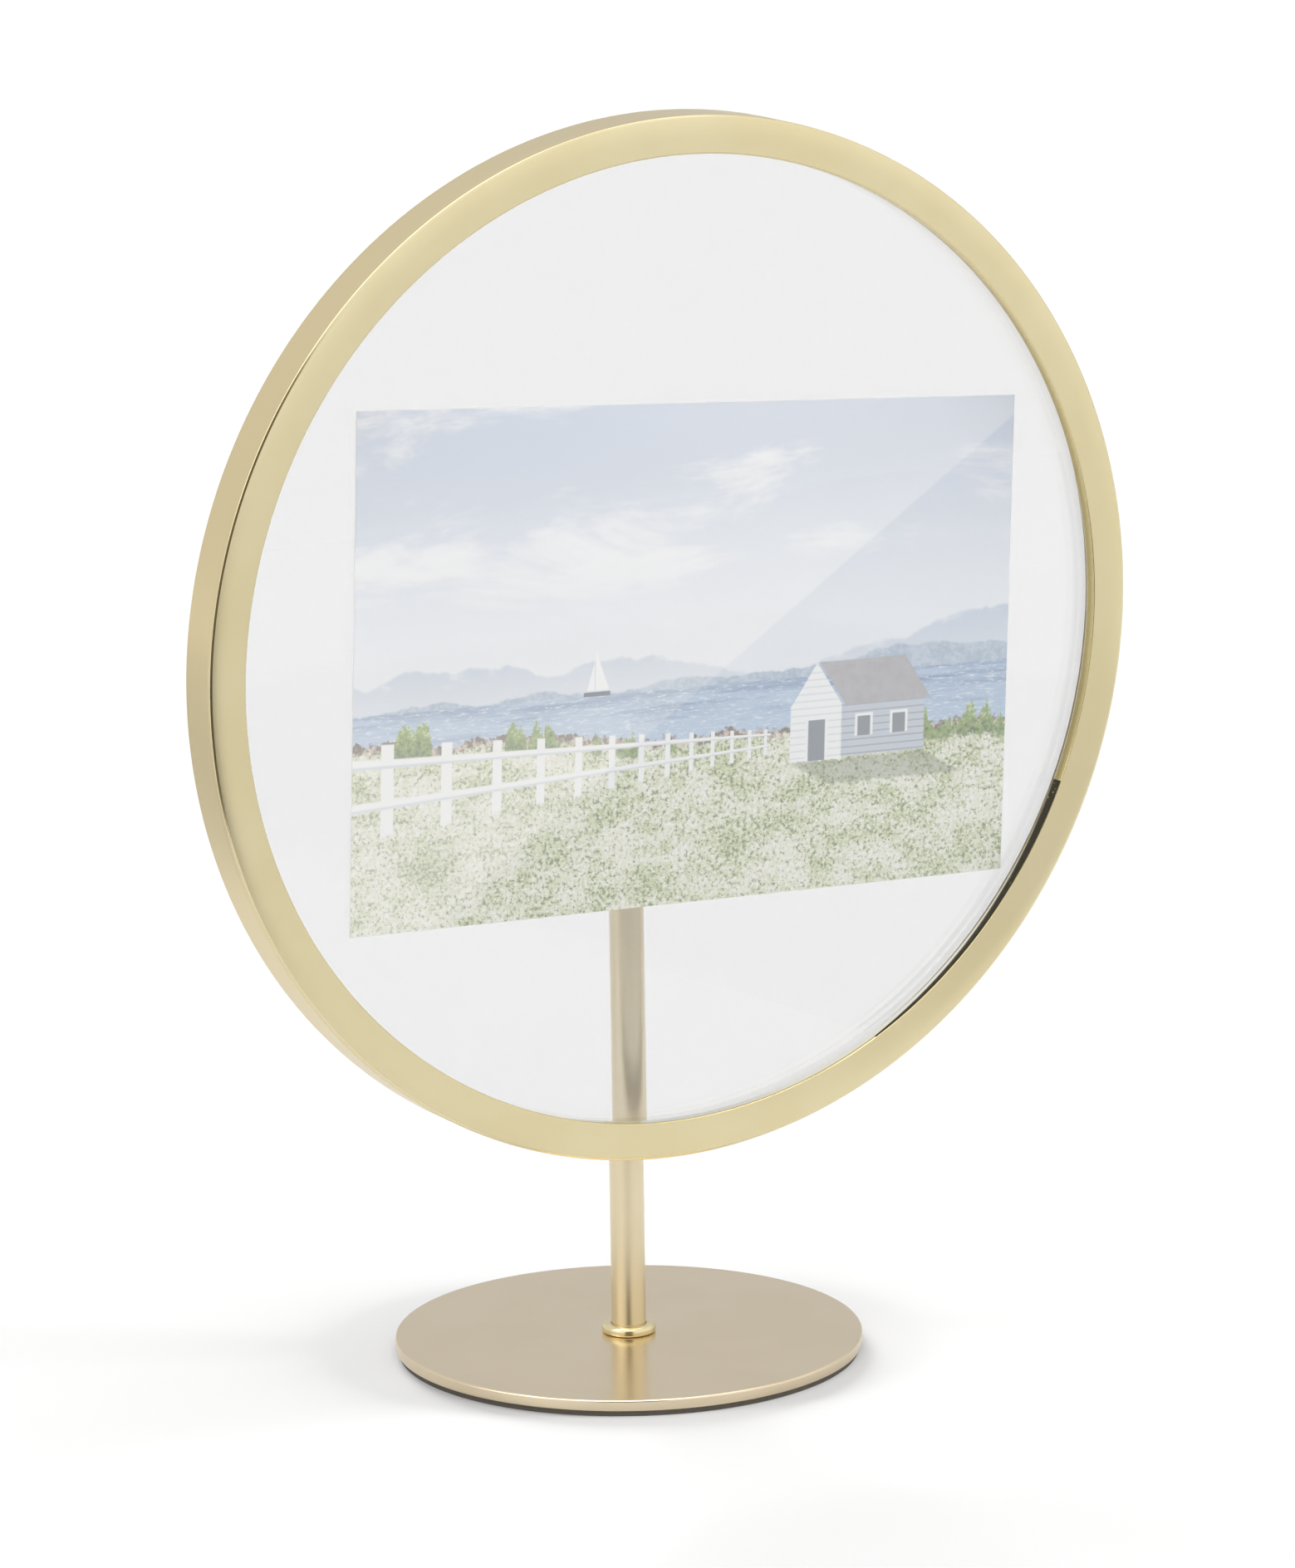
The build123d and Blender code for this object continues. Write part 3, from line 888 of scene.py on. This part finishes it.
# What only the metal mirrors, in m: a dark room in front, floors of other greys, soft lamps above and at the left
cardFloor, cardCeiling = 0.001, 1.2
mirrored = {
    "dark_floor": (0.08, lying(cardFloor, (-0.256, -0.24), (-0.08, -0.348), (-0.281, -1.218), (-0.914, -0.852))),
    "dark_room": (0.15, upright((-0.914, -0.852), (-0.281, -1.218), 0, 0.8)),
    "half_floor": (0.3, lying(cardFloor, (-0.08, -0.348), (-0.01, -0.37), (0.2, -1.25), (-0.281, -1.218))),
    "dim_floor": (0.7, lying(cardFloor, (0.18, -0.2), (0.48, -0.2), (0.42, -0.68), (0.12, -0.68))),
    "far_floor": (0.94, lying(cardFloor, (0.2, -0.85), (1.0, -0.85), (1.2, -1.7), (0.2, -1.7))),
    "grey_floor": (0.66, lying(cardFloor, (-0.3, 0.2), (-0.15, 0.15), (-0.6, 1.5), (-0.95, 1.4))),
    "soft_lamp": (1.9, lying(cardCeiling, (0.1, -0.75), (0.8, -0.75), (0.8, 0.15), (0.1, 0.15))),
    "edge_lamp": (3.2, lying(cardCeiling, (-1.1, -0.85), (0.1, -0.85), (0.1, 0.3), (-1.1, 0.3))),
    "left_lamp": (2.6, upright((-1.3, -0.4), (-1.3, 0.55), 0.57, 1.35)),
}
warmth = {"colour": (1, 0.86, 0.64, 1), "below": 0.25}      # the dark cards are warm


def floorPaint():
    # a little brighter where it is seen, so that the table goes over into the white behind
    paint = Paint("table_white")
    path = paint.node("ShaderNodeLightPath").socket.node
    seen = Wire(paint, path.outputs["Is Camera Ray"])
    for kind in ("Is Glossy Ray", "Is Transmission Ray"):
        seen = seen.larger(Wire(paint, path.outputs[kind]))
    flat = paint.node("ShaderNodeBsdfDiffuse", {}, {"Color": (room["floorColour"],) * 3 + (1,)})
    glow = paint.node("ShaderNodeEmission", {}, {"Strength": room["floorGlow"]})
    lifted = paint.node("ShaderNodeAddShader", {}, {0: flat, 1: glow})
    return paint.finish(paint.node("ShaderNodeMixShader", {}, {0: seen, 1: flat, 2: lifted}))


def flatPanel(name, corners, material):
    mesh = bpy.data.meshes.new(name)
    mesh.from_pydata(corners, [], [(0, 1, 2, 3)])
    mesh.materials.append(material)
    panel = placed(name, mesh)
    return panel


def makeCard(name, level, corners):
    paint = Paint(name)
    colour = warmth["colour"] if level < warmth["below"] else white
    glow = paint.node("ShaderNodeEmission", {}, {"Color": colour, "Strength": level})
    card = flatPanel(name, corners, paint.finish(glow))
    for ray in ("camera", "diffuse", "shadow", "transmission"):
        setattr(card, "visible_" + ray, False)


def makeSun(name, power, angle, source, lit):
    lamp = bpy.data.lights.new(name, "SUN")
    lamp.energy = power
    lamp.angle = math.radians(angle)
    light = placed(name, lamp)
    light.matrix_world = Vector(source).to_track_quat("Z", "Y").to_matrix().to_4x4()
    light.visible_glossy = False
    if lit:      # low lamps that shape the shadow on the table, and add nothing to the object
        light.light_linking.receiver_collection = lit


def makeWorld():
    world = bpy.data.worlds.new("studio")
    bpy.context.scene.world = world
    world.use_nodes = True
    around = Paint("studio_light", world.node_tree)
    x, y, z = around.parts(around.node("ShaderNodeTexCoord", output="Generated"))
    front = around.step(-y, *room["frontEdge"])
    lighter = around.step(z, *room["highEdge"]).larger(around.step(-x, *room["leftEdge"]))
    behind = lighter * room["worldRise"] + room["worldBack"]
    strength = front * room["worldFront"] + (1 - front) * behind
    light = around.node("ShaderNodeBackground", {}, {"Color": white, "Strength": strength})
    backdrop = around.node("ShaderNodeBackground", {}, {"Color": white, "Strength": room["sky"]})
    seen = around.node("ShaderNodeLightPath", output="Is Camera Ray")
    either = around.node("ShaderNodeMixShader", {}, {0: seen, 1: light, 2: backdrop})
    around.node("ShaderNodeOutputWorld", {}, {"Surface": either})


def makeRoom():
    half = room["floorHalf"]
    table = flatPanel("table", lying(0, (-half, -half), (half, -half), (half, half), (-half, half)), floorPaint())
    tableOnly = bpy.data.collections.new("table_only")
    tableOnly.objects.link(table)
    for name, (level, corners) in mirrored.items():
        makeCard(name, level, corners)
    makeWorld()
    for name, (power, angle, source, alone) in room["lamps"].items():
        makeSun(name, power, angle, source, tableOnly if alone else None)


makeRoom()
bpy.context.scene.view_settings.view_transform = "Standard"
print("light and table done")
